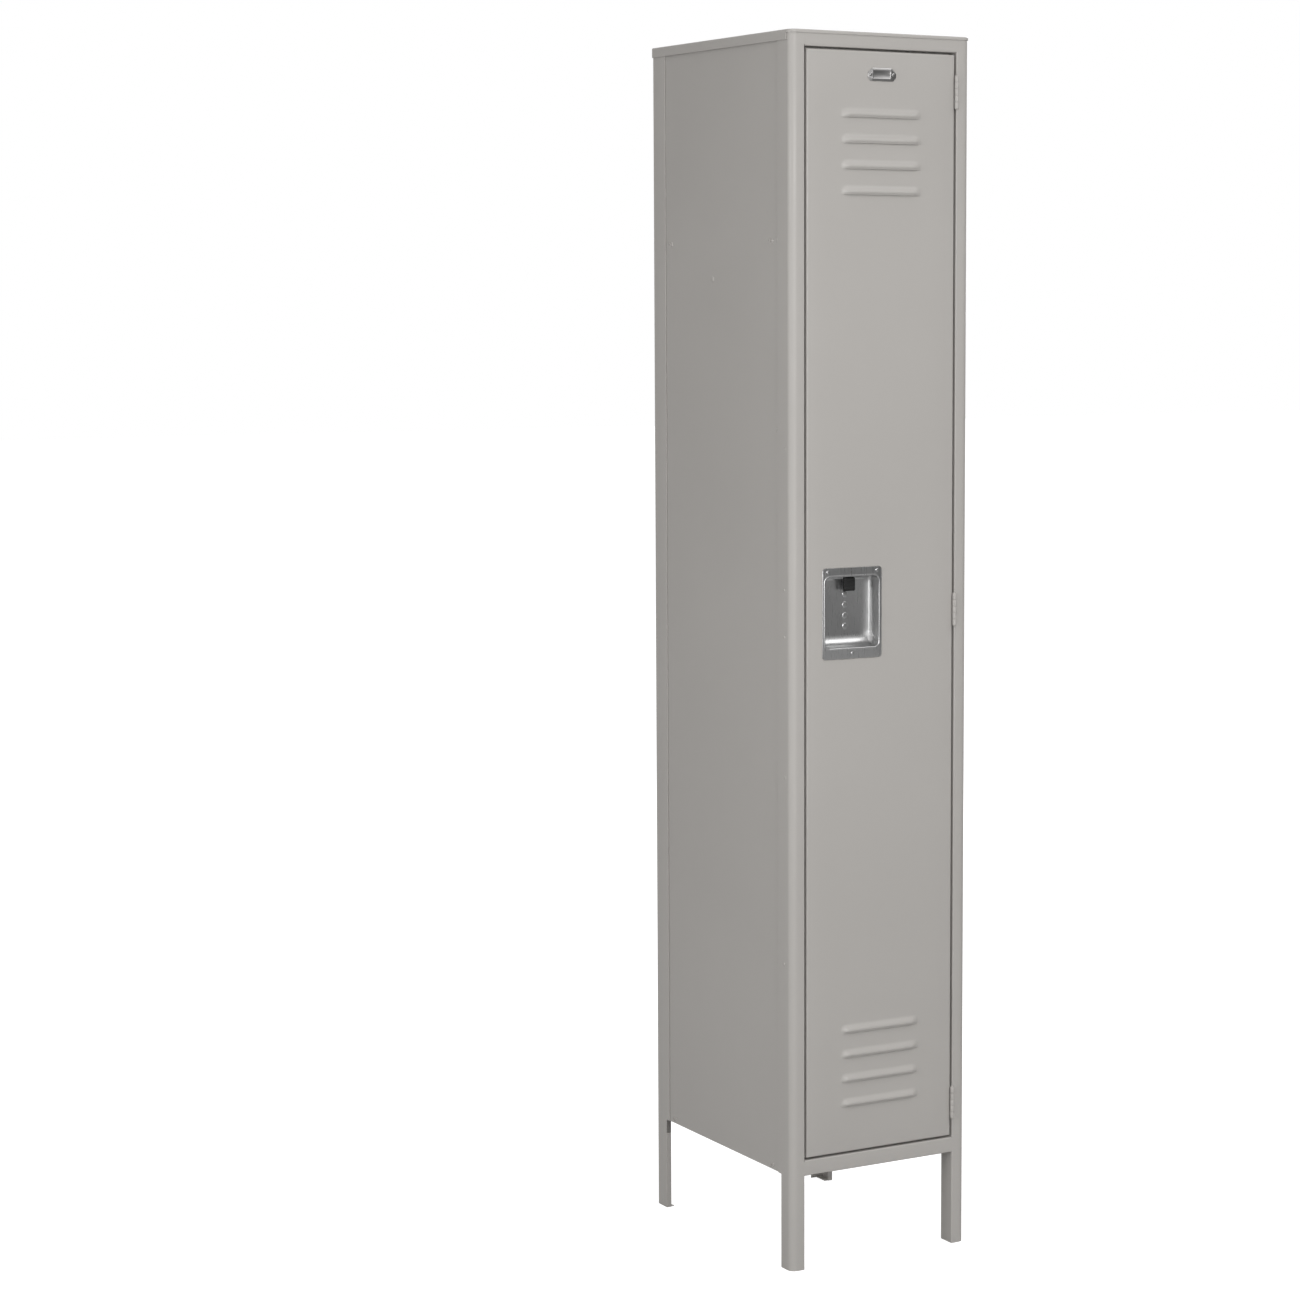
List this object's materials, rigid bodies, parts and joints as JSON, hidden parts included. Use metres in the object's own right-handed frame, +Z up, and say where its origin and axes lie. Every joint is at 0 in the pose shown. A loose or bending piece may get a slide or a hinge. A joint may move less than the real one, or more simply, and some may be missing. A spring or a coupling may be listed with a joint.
{
  "type": "locker cabinet",
  "caption": "Tall single-tier steel locker on four legs, with a louvered hinged door, a recessed lift handle with a coupled latch bar, a hat shelf and coat hooks.",
  "frame": {"origin": "on the floor, at the middle of the plan of the whole closed locker", "axes": "+X to the right seen from the front, +Y from the door to the back, +Z up"},
  "size_m": [0.337, 0.4654, 1.981],
  "materials": {
    "grey_paint": "satin baked enamel on sheet steel",
    "stainless": "drawn and brushed",
    "zinc": "bright zinc plate",
    "number_plate": "blank, satin",
    "rubber": "matt",
    "black_plastic": "moulded",
    "nylon": "natural"
  },
  "bodies": {
    "locker_body": {"back_panel": "grey_paint", "bottom_panel": "grey_paint", "coat_hook_bolt_left": "grey_paint", "coat_hook_bolt_rear": "grey_paint", "coat_hook_bolt_right": "grey_paint", "coat_hook_left": "zinc", "coat_hook_rear": "zinc", "coat_hook_right": "zinc", "door_silencer_bottom": "rubber", "door_silencer_middle": "rubber", "door_silencer_top": "rubber", "floor_bolt_left_front": "grey_paint", "floor_bolt_left_rear": "grey_paint", "floor_bolt_right_front": "grey_paint", "floor_bolt_right_rear": "grey_paint", "frame_post_left": "grey_paint", "frame_post_right": "grey_paint", "frame_rail_bottom": "grey_paint", "frame_rail_top": "grey_paint", "hat_shelf": "grey_paint", "hinge_bottom_frame_leaf": "grey_paint", "hinge_bottom_pin": "grey_paint", "hinge_middle_frame_leaf": "grey_paint", "hinge_middle_pin": "grey_paint", "hinge_top_frame_leaf": "grey_paint", "hinge_top_pin": "grey_paint", "latch_hook_bottom": "zinc", "latch_hook_middle": "zinc", "latch_hook_top": "zinc", "rear_post_left": "grey_paint", "rear_post_right": "grey_paint", "shelf_bolt_left_front": "grey_paint", "shelf_bolt_left_rear": "grey_paint", "shelf_bolt_right_front": "grey_paint", "shelf_bolt_right_rear": "grey_paint", "side_panel_left": "grey_paint", "side_panel_right": "grey_paint", "top_cover": "grey_paint"},
    "door": {"door_panel": "grey_paint", "handle_pocket": "stainless", "handle_rivet_left": "stainless", "handle_rivet_right": "stainless", "handle_screw": "stainless", "hinge_bottom_door_leaf": "grey_paint", "hinge_middle_door_leaf": "grey_paint", "hinge_top_door_leaf": "grey_paint", "latch_channel": "grey_paint", "latch_guide_bottom": "nylon", "latch_guide_middle": "nylon", "latch_guide_top": "nylon", "number_plate": "number_plate", "number_plate_rivet_left": "number_plate", "number_plate_rivet_right": "number_plate"},
    "lift": {"finger_lift": "black_plastic", "lift_slide_plate": "zinc"},
    "latch": {"latch_bar": "zinc"}
  },
  "joints": [
    {"name": "door_hinge", "type": "hinge", "parent": "locker_body", "child": "door", "pos_m": [0.13985, -0.22925, 1.06], "axis": [0, 0, 1], "range_deg": [0, 170]},
    {"name": "lift_slide", "type": "slide", "parent": "door", "child": "lift", "axis": [0, 0, 1], "range_m": [0, 0.012]},
    {"name": "latch_slide", "type": "slide", "parent": "door", "child": "latch", "axis": [0, 0, 1], "range_m": [0, 0.012]}
  ],
  "couplings": [
    {"joint": "latch_slide", "follows": "lift_slide", "ratio": 1}
  ]
}
